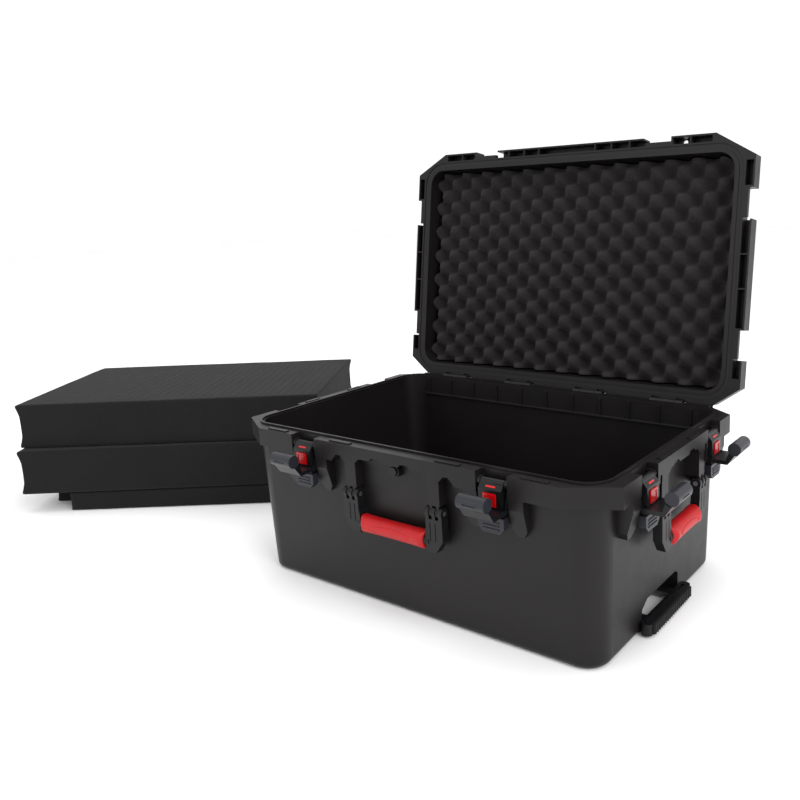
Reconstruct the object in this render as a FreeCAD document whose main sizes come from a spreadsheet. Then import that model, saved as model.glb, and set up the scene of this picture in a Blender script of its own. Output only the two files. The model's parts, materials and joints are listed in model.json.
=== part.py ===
import FreeCAD, Part
import math
import os
import re
import Sketcher

# Hard equipment case, lid open. Millimetres, +Z up, origin at the centre of the case's flat bottom.
# X runs along the case (pull handle at +X, wheels at -X), the front with the valve faces -Y.

SIZES = {
    # Tub: flat bottom, walls that lean outwards, parting plane at rim_height
    "end_inset": 26.4,
    "front_inset": 21.2,
    "back_inset": 16.5,
    "rim_height": 220.5,
    "wall_draft": 1.95,
    "corner_round": 30,
    "bottom_round": 9,
    "floor_thickness": 5,
    "rim_end_width": 23.5,
    "rim_front_width": 22.5,
    "rim_back_width": 15.5,
    "inner_round": 30,
    # Flange around the rim, with cut corners
    "flange_half_length": 300,
    "flange_half_depth": 191.5,
    "flange_height": 25,
    "front_cut_x": 57.8,
    "front_cut_y": 33,
    "back_cut_x": 37.4,
    "back_cut_y": 27,
    "floor_narrow": 7.3,
    "gap_half": 21.5,
    "gap_deep": 14,
    "tongue_width": 3,
    "tongue_inset": 3.2,
    "tongue_high": 2.5,
    "rest_pad_high": 1.5,
    # Latch stations
    "latch_from_end": 146.5,
    "side_middle_y": 5.7,
    "latch_from_front": 93,
    "latch_pin_n": 6,
    "latch_pin_drop": 11.5,
    "latch_pin_radius": 2,
    "ear_width": 20,
    "ear_thin": 4.5,
    "ear_drop": 72.5,
    "ear_lean": 34,
    "lever_half": 16,
    "lever_drop": 49.5,
    "lever_front": 3.5,
    "claw_pin_n": 8.5,
    "claw_pin_drop": 23.5,
    "claw_pin_radius": 2.5,
    "claw_half": 20.3,
    "cheek_thickness": 3,
    "bar_radius": 8.5,
    "bar_reach": 41.7,
    "button_half": 8.5,
    "button_low_drop": 36.5,
    "button_high_drop": 21.5,
    "tab_drop": 68.5,
    # Carrying handles
    "front_grip_half": 54,
    "side_grip_half": 43,
    "arm_width": 25,
    "arm_thickness": 12,
    "grip_radius": 12.5,
    "core_radius": 7,
    "handle_pin_drop": 63.5,
    "handle_drop": 37.5,
    "handle_in": 4,
    "handle_pin_radius": 3,
    "knuckle_radius": 7,
    # Lid
    "lid_gap": 2,
    "lid_height": 50,
    "lid_flange_height": 22,
    "lid_wall": 4,
    "lid_skirt": 2.5,
    "lid_draft": 3,
    "groove_deep": 4,
    "padlock_from_end": 110,
    "padlock_in": 7.2,
    "padlock_radius": 4,
    "valve_x": 2,
    "valve_drop": 24.5,
    "valve_radius": 8.5,
    "dome_inset": 19.7,
    "lid_opening_inset": 4.5,
    "keeper_height": 7,
    "keeper_inset": 7,
    "hinge_from_end": 105,
    "hinge_out": 2.5,
    "hinge_drop": 2.1,
    "hinge_radius": 6,
    "hinge_pin_radius": 2,
    "hinge_knuckle": 26,
    "guard_out": 12,
    "open_angle": 98.5,
    "lid_foam_thickness": 34,
    # Pull handle and wheels
    "pull_y": -7,
    "pull_half": 64,
    "tube_spacing": 40,
    "tube_radius": 6,
    "tube_z": 10,
    "tube_inner_end": -170,
    "recess_half": 54,
    "recess_height": 38.5,
    "recess_deep": 36,
    "recess_wall": 4,
    "wheel_radius": 26,
    "wheel_from_end": 15.1,
    "wheel_z": 27.5,
    "wheel_from_side": 36.3,
    "wheel_width": 24,
    "wheel_hub_radius": 19,
    "wheel_axle_radius": 4,
    "well_half": 16,
    # Foam stack beside the case
    "foam_short": 13,
    "foam_narrow": 15,
    "foam_thickness": 80,
    "foam_pad_thickness": 35,
    "foam_aside": 405,
    "foam_y": 35,
    "foam_turn": 35.5,
    # Clearances
    "running_gap": 0.1,
    "press_gap": 0.05,
    "side_gap": 0.4,
    "soft_gap": 0.3,
}

# Places that follow the overall sizes
DERIVED = {
    "foot_half_length": "(flange_half_length-end_inset)",
    "foot_front": "(flange_half_depth-front_inset)",
    "foot_back": "(flange_half_depth-back_inset)",
    "inner_half_length": "(flange_half_length-rim_end_width)",
    "inner_front": "(flange_half_depth-rim_front_width)",
    "inner_back": "(flange_half_depth-rim_back_width)",
    "front_latch_x": "(flange_half_length-latch_from_end)",
    "side_latch_y": "(flange_half_depth-latch_from_front)",
    "padlock_x": "(flange_half_length-padlock_from_end)",
    "latch_pin_z": "(rim_height-latch_pin_drop)",
    "claw_pin_z": "(rim_height-claw_pin_drop)",
    "lever_bottom": "(rim_height-lever_drop)",
    "button_low": "(rim_height-button_low_drop)",
    "button_high": "(rim_height-button_high_drop)",
    "tab_bottom": "(rim_height-tab_drop)",
    "ear_bottom": "(rim_height-ear_drop)",
    "handle_pin_z": "(rim_height-handle_pin_drop)",
    "valve_z": "(rim_height-valve_drop)",
    "wheel_x": "(wheel_from_end-foot_half_length)",
    "wheel_y": "(foot_front-wheel_from_side)",
    "foam_length": "(2*inner_half_length-foam_short)",
    "foam_depth": "(inner_front+inner_back-foam_narrow)",
    "foam_x": "(-flange_half_length-foam_aside)",
    "hinge_far": "(flange_half_length-hinge_from_end)",
}

doc = FreeCAD.newDocument("equipment_case")
sheet = doc.addObject("Spreadsheet::Sheet", "Sizes")
for row, (alias, value) in enumerate(SIZES.items(), start=1):
    sheet.set("A%d" % row, alias)
    sheet.set("B%d" % row, repr(value))
    sheet.setAlias("B%d" % row, alias)
doc.recompute()


def bind(formula):
    """Turn a formula with size names into an expression that reads the sheet."""
    def swap(found):
        word = found.group(0)
        if word in DERIVED:
            return bind(DERIVED[word])
        return "Sizes." + word if word in SIZES else word
    return re.sub(r"[A-Za-z_]\w*", swap, str(formula))


def value(formula):
    """The number that a formula of size names gives now."""
    result = sheet.evalExpression(bind(formula))
    return float(getattr(result, "Value", result))


def plus(first, second):
    return "(%s)+(%s)" % (first, second)


def minus(first, second):
    return "(%s)-(%s)" % (first, second)


def negative(formula):
    return "-(%s)" % formula


def mirrored(points):
    """The same points with the sign of the first coordinate turned."""
    return [(negative(first), second) for first, second in reversed(points)]


# Sketch planes: the turn that stands a sketch square to each axis, and the way its normal then points.
PLANES = {
    "z": FreeCAD.Rotation(),
    "x": FreeCAD.Rotation(FreeCAD.Vector(1, 1, 1), 120),
    "y": FreeCAD.Rotation(FreeCAD.Vector(1, 0, 0), 90),
}


class Piece:
    """One sub-part: bound solids that are joined, then bored and cut, in one or more stages."""

    def __init__(self, name):
        self.name = name
        self.count = 0
        self.joined = []
        self.removed = []
        self.result = None

    def label(self, kind):
        self.count += 1
        return "%s_%s_%d" % (self.name, kind, self.count)

    def sketch(self, axis, station):
        sketch = doc.addObject("Sketcher::SketchObject", self.label("sketch"))
        sketch.Placement = FreeCAD.Placement(FreeCAD.Vector(), PLANES[axis])
        sketch.setExpression("Placement.Base." + axis, bind(station))
        return sketch

    def hold(self, sketch, geometry, vertex, a, b):
        """Fix one point of a sketch at two bound coordinates."""
        for kind, formula in (("DistanceX", a), ("DistanceY", b)):
            number = sketch.addConstraint(
                Sketcher.Constraint(kind, -1, 1, geometry, vertex, value(formula)))
            sketch.setExpression("Constraints[%d]" % number, bind(formula))

    def polygon(self, sketch, points):
        numbers = [FreeCAD.Vector(value(a), value(b), 0) for a, b in points]
        total = len(numbers)
        for index in range(total):
            line = Part.LineSegment(numbers[index], numbers[(index + 1) % total])
            sketch.addGeometry(line, False)
        for index, (a, b) in enumerate(points):
            after = (index + 1) % total
            sketch.addConstraint(Sketcher.Constraint("Coincident", index, 2, after, 1))
            self.hold(sketch, index, 1, a, b)

    def rounded(self, sketch, low_a, high_a, low_b, high_b, radius):
        """A rectangle with four round corners."""
        a0, a1, b0, b1, r = (value(f) for f in (low_a, high_a, low_b, high_b, radius))
        sides = [
            ((plus(low_a, radius), low_b), (minus(high_a, radius), low_b)),
            ((high_a, plus(low_b, radius)), (high_a, minus(high_b, radius))),
            ((minus(high_a, radius), high_b), (plus(low_a, radius), high_b)),
            ((low_a, minus(high_b, radius)), (low_a, plus(low_b, radius))),
        ]
        first = sketch.GeometryCount
        for start, stop in sides:
            ends = [FreeCAD.Vector(value(a), value(b), 0) for a, b in (start, stop)]
            sketch.addGeometry(Part.LineSegment(*ends), False)
        centres = [(a1 - r, b0 + r), (a1 - r, b1 - r), (a0 + r, b1 - r), (a0 + r, b0 + r)]
        for index, (a, b) in enumerate(centres):
            circle = Part.Circle(FreeCAD.Vector(a, b, 0), FreeCAD.Vector(0, 0, 1), r)
            begin = math.radians(270 + 90 * index)
            sketch.addGeometry(Part.ArcOfCircle(circle, begin, begin + math.pi / 2), False)
        for index, (start, stop) in enumerate(sides):
            arc = first + 4 + index
            sketch.addConstraint(Sketcher.Constraint("Coincident", first + index, 2, arc, 1))
            sketch.addConstraint(Sketcher.Constraint("Coincident", arc, 2, first + (index + 1) % 4, 1))
            self.hold(sketch, first + index, 1, *start)
            self.hold(sketch, first + index, 2, *stop)
            bound = sketch.addConstraint(Sketcher.Constraint("Radius", arc, r))
            sketch.setExpression("Constraints[%d]" % bound, bind(radius))

    def extrude(self, axis, low, high, draw, taper=None):
        # The normal of the y plane points to -Y, so those sketches stand at the high end.
        sketch = self.sketch(axis, high if axis == "y" else low)
        draw(sketch)
        solid = doc.addObject("Part::Extrusion", self.label("extrusion"))
        solid.Base = sketch
        solid.DirMode = "Normal"
        solid.Solid = True
        solid.setExpression("LengthFwd", bind(minus(high, low)))
        if taper is not None:
            solid.setExpression("TaperAngle", bind(taper))
        return solid

    def prism(self, axis, points, low, high, taper=None):
        return self.extrude(axis, low, high, lambda s: self.polygon(s, points), taper)

    def rounded_prism(self, axis, loops, low, high, taper=None):
        """One rounded rectangle, or a second one inside the first to leave a ring."""
        def draw(sketch):
            for loop in loops:
                self.rounded(sketch, *loop)
        return self.extrude(axis, low, high, draw, taper)

    def box(self, x_low, x_high, y_low, y_high, z_low, z_high):
        solid = doc.addObject("Part::Box", self.label("box"))
        for prop, low, high in (("Length", x_low, x_high), ("Width", y_low, y_high), ("Height", z_low, z_high)):
            solid.setExpression(prop, bind(minus(high, low)))
        for letter, low in (("x", x_low), ("y", y_low), ("z", z_low)):
            solid.setExpression("Placement.Base." + letter, bind(low))
        return solid

    def rod(self, axis, a, b, radius, low, high):
        """A round bar along x, y or z; a and b are its other two coordinates in alphabetical order."""
        solid = doc.addObject("Part::Cylinder", self.label("rod"))
        solid.setExpression("Radius", bind(radius))
        solid.setExpression("Height", bind(minus(high, low)))
        solid.Placement = FreeCAD.Placement(FreeCAD.Vector(), PLANES[axis])
        others = [letter for letter in "xyz" if letter != axis]
        start = high if axis == "y" else low
        for letter, formula in zip(others + [axis], (a, b, start)):
            solid.setExpression("Placement.Base." + letter, bind(formula))
        return solid

    def add(self, solid):
        self.joined.append(solid)

    def cut(self, solid):
        self.removed.append(solid)

    def stage(self):
        """Join what was added to the piece so far, then take away what is to be cut."""
        parts = ([self.result] if self.result else []) + self.joined
        if len(parts) > 1:
            fused = doc.addObject("Part::MultiFuse", self.label("join"))
            fused.Shapes = parts
        else:
            fused = parts[0]
        if self.removed:
            tool = self.removed[0]
            if len(self.removed) > 1:
                tool = doc.addObject("Part::MultiFuse", self.label("tools"))
                tool.Shapes = self.removed
            result = doc.addObject("Part::Cut", self.label("cut"))
            result.Base = fused
            result.Tool = tool
        else:
            result = fused
        self.result = result
        self.joined = []
        self.removed = []

    def finish(self, x="0", y="0", z="0", turn=0, axis=(0, 0, 1), angle=None):
        """Close the piece, name it and stand it in its place."""
        self.stage()
        kept = self.result
        if kept.TypeId not in ("Part::Cut", "Part::MultiFuse"):
            kept = doc.addObject("Part::Compound", self.name + "_whole")
            kept.Links = [self.result]
        kept.Label = self.name
        degrees = value(turn)
        kept.Placement = FreeCAD.Placement(FreeCAD.Vector(), FreeCAD.Rotation(FreeCAD.Vector(*axis), degrees))
        for letter, formula in (("x", x), ("y", y), ("z", z)):
            kept.setExpression("Placement.Base." + letter, bind(formula))
        NODES.append((self.name, kept))


NODES = []


def span(low_a, high_a, low_b, high_b):
    return [(low_a, low_b), (high_a, low_b), (high_a, high_b), (low_a, high_b)]


class Side:
    """Frame of one side of the case: s runs along the flange, n points out from its face."""

    def __init__(self, side, middle="0"):
        self.side = side
        self.middle = middle
        self.edge = "flange_half_depth" if side == "front" else "flange_half_length"

    def s_range(self, low, high):
        if self.side == "left":
            return minus(self.middle, high), minus(self.middle, low)
        return plus(self.middle, low), plus(self.middle, high)

    def n_range(self, low, high):
        if self.side == "right":
            return plus(self.edge, low), plus(self.edge, high)
        return negative(plus(self.edge, high)), negative(plus(self.edge, low))

    def n_at(self, n):
        out = plus(self.edge, n)
        return out if self.side == "right" else negative(out)

    def s_at(self, s):
        return minus(self.middle, s) if self.side == "left" else plus(self.middle, s)

    def face(self, piece, points, n_low, n_high):
        """An (s, z) outline, extruded outwards."""
        axis = "y" if self.side == "front" else "x"
        return piece.prism(axis, [(self.s_at(s), z) for s, z in points], *self.n_range(n_low, n_high))

    def profile(self, piece, points, s_low, s_high):
        """An (n, z) profile, extruded along the flange."""
        axis = "x" if self.side == "front" else "y"
        return piece.prism(axis, [(self.n_at(n), z) for n, z in points], *self.s_range(s_low, s_high))

    def block(self, piece, s_low, s_high, n_low, n_high, z_low, z_high):
        s_pair = self.s_range(s_low, s_high)
        n_pair = self.n_range(n_low, n_high)
        if self.side == "front":
            return piece.box(*s_pair, *n_pair, z_low, z_high)
        return piece.box(*n_pair, *s_pair, z_low, z_high)

    def rod(self, piece, n, z, radius, s_low, s_high):
        axis = "x" if self.side == "front" else "y"
        return piece.rod(axis, self.n_at(n), z, radius, *self.s_range(s_low, s_high))

    def place(self):
        """Where a piece built as a front one at the origin goes for this side."""
        if self.side == "front":
            return {"x": self.middle, "y": "-flange_half_depth"}
        if self.side == "right":
            return {"x": "flange_half_length", "y": self.middle, "turn": 90}
        return {"x": "-flange_half_length", "y": self.middle, "turn": -90}


class Local(Side):
    """The same frame for a piece built at the origin and placed afterwards."""

    def __init__(self):
        Side.__init__(self, "front")
        self.edge = "0"


LOCAL = Local()
SIDE_FRONT_Y = "side_middle_y-side_latch_y"
SIDE_BACK_Y = "side_middle_y+side_latch_y"
LATCHES = [
    ("front_right", Side("front", "front_latch_x"), ("ear_width", "ear_width")),
    ("front_left", Side("front", "-front_latch_x"), ("ear_width", "ear_width")),
    ("right_front", Side("right", SIDE_FRONT_Y), ("ear_width", "ear_thin")),
    ("right_back", Side("right", SIDE_BACK_Y), ("ear_thin", "ear_width")),
    ("left_front", Side("left", SIDE_FRONT_Y), ("ear_thin", "ear_width")),
    ("left_back", Side("left", SIDE_BACK_Y), ("ear_width", "ear_thin")),
]
HANDLES = [
    ("front", Side("front"), "front_grip_half"),
    ("right", Side("right", "side_middle_y"), "side_grip_half"),
    ("left", Side("left", "side_middle_y"), "side_grip_half"),
]
HINGES = ["-hinge_far", "-hinge_far/3", "hinge_far/3", "hinge_far"]
HINGE_Y = "flange_half_depth+hinge_out"
HINGE_Z = "rim_height-hinge_drop"


def opening_loop(outset, radius):
    """A rounded loop that follows the tub's opening, outset outside its edge."""
    return (negative(plus("inner_half_length", outset)), plus("inner_half_length", outset),
            negative(plus("inner_front", outset)), plus("inner_back", outset), radius)


def flange_outline(deep_front, deep_side):
    """Outline of the rim with cut corners and a gap at each latch."""
    right = [
        ("front_latch_x-gap_half", "-flange_half_depth"),
        ("front_latch_x-gap_half", "-flange_half_depth+" + deep_front),
        ("front_latch_x+gap_half", "-flange_half_depth+" + deep_front),
        ("front_latch_x+gap_half", "-flange_half_depth"),
        ("flange_half_length-front_cut_x", "-flange_half_depth"),
        ("flange_half_length", "-flange_half_depth+front_cut_y"),
    ]
    for middle in (SIDE_FRONT_Y, SIDE_BACK_Y):
        right += [
            ("flange_half_length", middle + "-gap_half"),
            ("flange_half_length-" + deep_side, middle + "-gap_half"),
            ("flange_half_length-" + deep_side, middle + "+gap_half"),
            ("flange_half_length", middle + "+gap_half"),
        ]
    right += [
        ("flange_half_length", "flange_half_depth-back_cut_y"),
        ("flange_half_length-back_cut_x", "flange_half_depth"),
    ]
    left = [(negative(x), y) for x, y in reversed(right)]
    return right + left


# ---------------------------------------------------------------- base shell
def build_tub():
    """The plain moulded tub with its leaning walls and round bottom edge."""
    body = doc.addObject("PartDesign::Body", "tub_body")
    drawing = Piece("tub")
    sketch = body.newObject("Sketcher::SketchObject", "tub_outline")
    plane = [f for f in body.Origin.OriginFeatures if f.Role == "XY_Plane"][0]
    sketch.AttachmentSupport = [(plane, "")]
    sketch.MapMode = "FlatFace"
    drawing.rounded(sketch, "-foot_half_length", "foot_half_length", "-foot_front", "foot_back",
                    "corner_round")
    pad = body.newObject("PartDesign::Pad", "tub_pad")
    pad.Profile = sketch
    pad.setExpression("Length", bind("rim_height"))
    pad.setExpression("TaperAngle", bind("wall_draft"))
    doc.recompute()
    low = ["Edge%d" % n for n, edge in enumerate(pad.Shape.Edges, start=1) if edge.BoundBox.ZMax < 0.01]
    fillet = body.newObject("PartDesign::Fillet", "tub_bottom_round")
    fillet.Base = (pad, low)
    fillet.setExpression("Radius", bind("bottom_round"))
    body.Tip = fillet
    return body


def build_base():
    base = Piece("base_shell")
    base.add(build_tub())
    base.add(base.prism("z", flange_outline("gap_deep", "gap_deep"), "rim_height-flange_height", "rim_height"))
    # Sealing tongue on the rim
    base.add(base.rounded_prism("z", [
        opening_loop("tongue_inset+tongue_width", "inner_round+tongue_inset+tongue_width"),
        opening_loop("tongue_inset", "inner_round+tongue_inset")], "rim_height-1", "rim_height+tongue_high"))
    # Inside of the tub
    base.cut(base.rounded_prism("z", [opening_loop("-floor_narrow", "inner_round-floor_narrow")],
                                "floor_thickness", "rim_height", "wall_draft"))
    base.cut(base.rounded_prism("z", [opening_loop("0", "inner_round")], "rim_height-0.1", "rim_height+5"))
    # Small resting pads for the lid on the wide part of the rim
    for x_middle in (-208, -88, 88, 208):
        base.add(base.box(x_middle - 18, x_middle + 18, "-flange_half_depth+3", "-flange_half_depth+9",
                          "rim_height-1", "rim_height+rest_pad_high"))
    for side in (Side("right"), Side("left")):
        for y_middle in (-45, 45):
            base.add(side.block(base, side_sign(side, y_middle) - 13, side_sign(side, y_middle) + 13, "-9", "-3",
                                "rim_height-1", "rim_height+rest_pad_high"))
    for name, side, widths in LATCHES:
        build_latch_station(base, side, widths)
    for name, side, grip in HANDLES:
        build_handle_station(base, side, grip)
    build_hinge(base, "base")
    build_shroud(base)
    for rib_x in range(-240, 241, 48):
        base.add(base.box(rib_x - 1.3, rib_x + 1.3, "inner_back-4", "inner_back+1", "rim_height-29",
                          "rim_height-2"))
    base.add(base.box("-inner_half_length+26", "inner_half_length-26", "inner_back-4.4", "inner_back+1",
                      "rim_height-31", "rim_height-28"))
    base.stage()

    # Housings inside the tub for the pull handle recess, its tubes and the wheels
    recess_y = ("pull_y-recess_half", "pull_y+recess_half")
    base.add(base.box("foot_half_length-recess_deep-recess_wall", "foot_half_length-1",
                      recess_y[0] + "-recess_wall", recess_y[1] + "+recess_wall",
                      "1", "recess_height+recess_wall"))
    base.cut(base.prism("x", [
        (recess_y[0], "-1"), (recess_y[1], "-1"), (recess_y[1], "recess_height-6"),
        (recess_y[1] + "-8", "recess_height"), (recess_y[0] + "+14", "recess_height"),
        (recess_y[0], "recess_height-9")], "foot_half_length-recess_deep", "foot_half_length+8"))
    for sign in ("-", "+"):
        tube_y = "pull_y" + sign + "tube_spacing"
        base.add(base.box("tube_inner_end-8", "foot_half_length-recess_deep-1",
                          tube_y + "-tube_radius-4", tube_y + "+tube_radius+4", "1", "tube_z+tube_radius+4"))
        base.cut(base.rod("x", tube_y, "tube_z", "tube_radius+running_gap",
                          "tube_inner_end-2", "foot_half_length-recess_deep+1"))
        well_y = "%swheel_y" % ("-" if sign == "-" else "")
        base.add(base.box("-foot_half_length+1", "wheel_x+wheel_radius+7",
                          well_y + "-well_half-4", well_y + "+well_half+4", "1", "wheel_z+wheel_radius+7"))
        base.cut(base.box("-foot_half_length-12", "wheel_x+wheel_radius+3",
                          well_y + "-well_half", well_y + "+well_half", "-1", "wheel_z+wheel_radius+3"))
        base.cut(base.rod("y", "wheel_x", "wheel_z", "wheel_axle_radius+press_gap",
                          well_y + "-well_half-3.5", well_y + "+well_half+3.5"))
    base.finish()


def build_shroud(base):
    """Behind the rim between the knuckles: a low bead, and a thin guard that shields the hinge line."""
    reach = "hinge_knuckle/2+side_gap*2+12.6"
    stops = ["-flange_half_length+back_cut_x+1"]
    for middle in HINGES:
        stops += [middle + "-" + reach.replace("+", "-"), middle + "+" + reach]
    stops.append("flange_half_length-back_cut_x-1")
    for low, high in zip(stops[::2], stops[1::2]):
        base.add(base.box(low, high, "flange_half_depth-3", "flange_half_depth", "rim_height-1", "rim_height+1.6"))
        base.add(base.box(low, high, "flange_half_depth-1", "flange_half_depth+guard_out", "rim_height-17",
                          "rim_height-14"))
        base.add(base.box(low, high, "flange_half_depth+guard_out-1.5", "flange_half_depth+guard_out",
                          "rim_height-15", "rim_height-1.5"))


def side_sign(side, number):
    return -number if side.side == "left" else number


def build_latch_station(base, side, widths):
    """Ears either side of the gap, leaning back to the wall, and the bosses of the lever's pin."""
    top = "rim_height-flange_height+1"
    for direction, width in zip((-1, 1), widths):
        sign = "-" if direction < 0 else ""
        near = sign + "gap_half"
        far = sign + "(gap_half+" + width + ")"
        outline = [
            (near, top), (near, "ear_bottom+9"),
            (plus(near, "%d*%s*0.3" % (direction, width)), "ear_bottom"),
            (minus(far, "%d*%s*0.3" % (direction, width)), "ear_bottom"),
            (far, "ear_bottom+9"), (far, top),
        ]
        base.add(side.face(base, outline, "-gap_deep-9", "-1"))
        boss = ("lever_half+0.6", "gap_half+1") if direction > 0 else ("-gap_half-1", "-lever_half-0.6")
        base.add(side.rod(base, "-latch_pin_n", "latch_pin_z", "4.5", *boss))
        base.add(side.block(base, *boss, "-gap_deep-6", "-latch_pin_n", "latch_pin_z-4.5", "latch_pin_z+4.5"))
        slope = [("1", "ear_bottom+ear_lean"), ("-1", "ear_bottom+ear_lean"), ("-11", "ear_bottom-1"),
                 ("1", "ear_bottom-1")]
        reach = ("gap_half-1", "gap_half+1+" + width) if direction > 0 else ("-gap_half-1-" + width, "-gap_half+1")
        base.cut(side.profile(base, slope, *reach))
    base.cut(side.rod(base, "-latch_pin_n", "latch_pin_z", "latch_pin_radius+press_gap",
                      "-gap_half-0.2", "gap_half+0.2"))


def build_handle_station(base, side, grip):
    """Two posts with knuckles, and the header cut back between and beside them."""
    post_in = grip + "+5"
    post_out = grip + "+23"
    for sign in (1, -1):
        def pair(low, high):
            return (low, high) if sign > 0 else (negative(high), negative(low))
        base.add(side.block(base, *pair(post_in, post_out), "-gap_deep-9", "-0.5",
                            "handle_pin_z+knuckle_radius+2", "rim_height-flange_height+1"))
        for finger in ("7.6", "17.4"):
            low = grip + "+" + finger
            high = low + "+4"
            base.add(side.block(base, *pair(low, high), "-handle_in-knuckle_radius+1", "-0.5",
                                "handle_pin_z", "handle_pin_z+knuckle_radius+3"))
            base.add(side.rod(base, "-handle_in", "handle_pin_z", "knuckle_radius-1", *pair(low, high)))
        base.cut(side.rod(base, "-handle_in", "handle_pin_z", "handle_pin_radius+press_gap",
                          *pair(grip + "+1", grip + "+29")))
        far = post_out + ("+23" if side.side == "front" else "+5.5")
        bevel = "8" if side.side == "front" else "2"
        recess = [
            (post_out, "rim_height-flange_height-1"), (far, "rim_height-flange_height-1"),
            (far, "rim_height-15.5-" + bevel), (far + "-" + bevel, "rim_height-15.5"),
            (post_out + "+" + bevel, "rim_height-15.5"), (post_out, "rim_height-15.5-" + bevel)]
        points = recess if sign > 0 else [(negative(s), z) for s, z in recess]
        base.cut(side.face(base, points, "-gap_deep+1", "1"))
    window = [
        (negative(post_in), "rim_height-flange_height-1"), (post_in, "rim_height-flange_height-1"),
        (post_in, "rim_height-22"), (post_in + "-7", "rim_height-15.5"),
        (negative(post_in + "-7"), "rim_height-15.5"), (negative(post_in), "rim_height-22")]
    base.cut(side.face(base, window, "-gap_deep+1", "1"))
    for start in ("-34", "14"):
        slot = [(start, "rim_height-16"), (start + "+20", "rim_height-16"), (start + "+16", "rim_height-11.5"),
                (start + "+4", "rim_height-11.5")]
        base.cut(side.face(base, slot, "-9", "1"))


def build_hinge(piece, part):
    """Knuckles around the hinge pin, and room in the flange for the other part's knuckles."""
    lid = part == "lid"
    for middle in HINGES:
        own, other = ([], [])
        centre = (middle + "-hinge_knuckle/2", middle + "+hinge_knuckle/2")
        before = (middle + "-hinge_knuckle/2-side_gap-12", middle + "-hinge_knuckle/2-side_gap")
        after = (middle + "+hinge_knuckle/2+side_gap", middle + "+hinge_knuckle/2+side_gap+12")
        own, other = ([centre], [before, after]) if lid else ([before, after], [centre])
        for low, high in own:
            piece.add(piece.rod("x", HINGE_Y, HINGE_Z, "hinge_radius", low, high))
            if lid:
                piece.add(piece.box(low, high, HINGE_Y + "-hinge_radius", HINGE_Y + "+hinge_radius", HINGE_Z,
                                    "rim_height+lid_gap+lid_flange_height-6"))
            else:
                piece.add(piece.box(low, high, HINGE_Y + "-hinge_radius-3", HINGE_Y,
                                    HINGE_Z + "-hinge_radius", "rim_height"))
        piece.cut(piece.rod("x", HINGE_Y, HINGE_Z, "hinge_pin_radius+running_gap",
                            before[0] + "-1", after[1] + "+1"))
        for low, high in other:
            room = (low + "-side_gap", high + "+side_gap")
            if lid:
                piece.cut(piece.box(*room, HINGE_Y + "-hinge_radius-1.7", HINGE_Y + "+hinge_radius+2",
                                    "rim_height", "rim_height+lid_gap+4"))
            else:
                piece.cut(piece.box(*room, HINGE_Y + "-hinge_radius-1.7", HINGE_Y + "+hinge_radius+2",
                                    HINGE_Z + "-hinge_radius-0.6", "rim_height+1"))


# ---------------------------------------------------------------- lid
LID_Z = "rim_height+lid_gap"


def lid_place():
    """Turn a piece drawn on the closed lid back about the hinge to the open position."""
    y, z = "(" + HINGE_Y + ")", "(" + HINGE_Z + ")"
    back_y = "%s*(1-cos(open_angle))-%s*sin(open_angle)" % (y, z)
    back_z = "%s*(1-cos(open_angle))+%s*sin(open_angle)" % (z, y)
    return {"x": "0", "y": back_y, "z": back_z, "turn": "-open_angle", "axis": (1, 0, 0)}


def hollow_lid_flange(lid):
    """Pockets with thin ribs between them in the underside of the lid's flange."""
    ceiling = LID_Z + "+lid_flange_height-lid_wall"
    half = "gap_half+3"
    front = [
        ("front_latch_x+" + half, "padlock_x+14"), ("padlock_x+16", "padlock_x+47"),
        ("front_grip_half+56", "front_latch_x-" + half), ("front_grip_half+26", "front_grip_half+54"),
        ("52", "front_grip_half+24")]
    front += [(negative(high), negative(low)) for low, high in front] + [("-50", "50")]
    for low, high in front:
        lid.cut(lid.box(low, high, "-flange_half_depth+lid_skirt", "-flange_half_depth+lid_skirt+9.4",
                        LID_Z + "-1", ceiling))
    side_y = [
        ("-side_latch_y-53", "-side_latch_y-" + half), ("-side_latch_y+" + half, "-24"), ("-22", "24"),
        ("26", "side_latch_y-" + half), ("side_latch_y+" + half, "side_latch_y+52")]
    for side in (Side("right"), Side("left")):
        for low, high in side_y:
            ends = (low, high) if side.side == "right" else (negative(high), negative(low))
            lid.cut(side.block(lid, *ends, "-lid_skirt-10.2", "-lid_skirt", LID_Z + "-1", ceiling))


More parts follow.
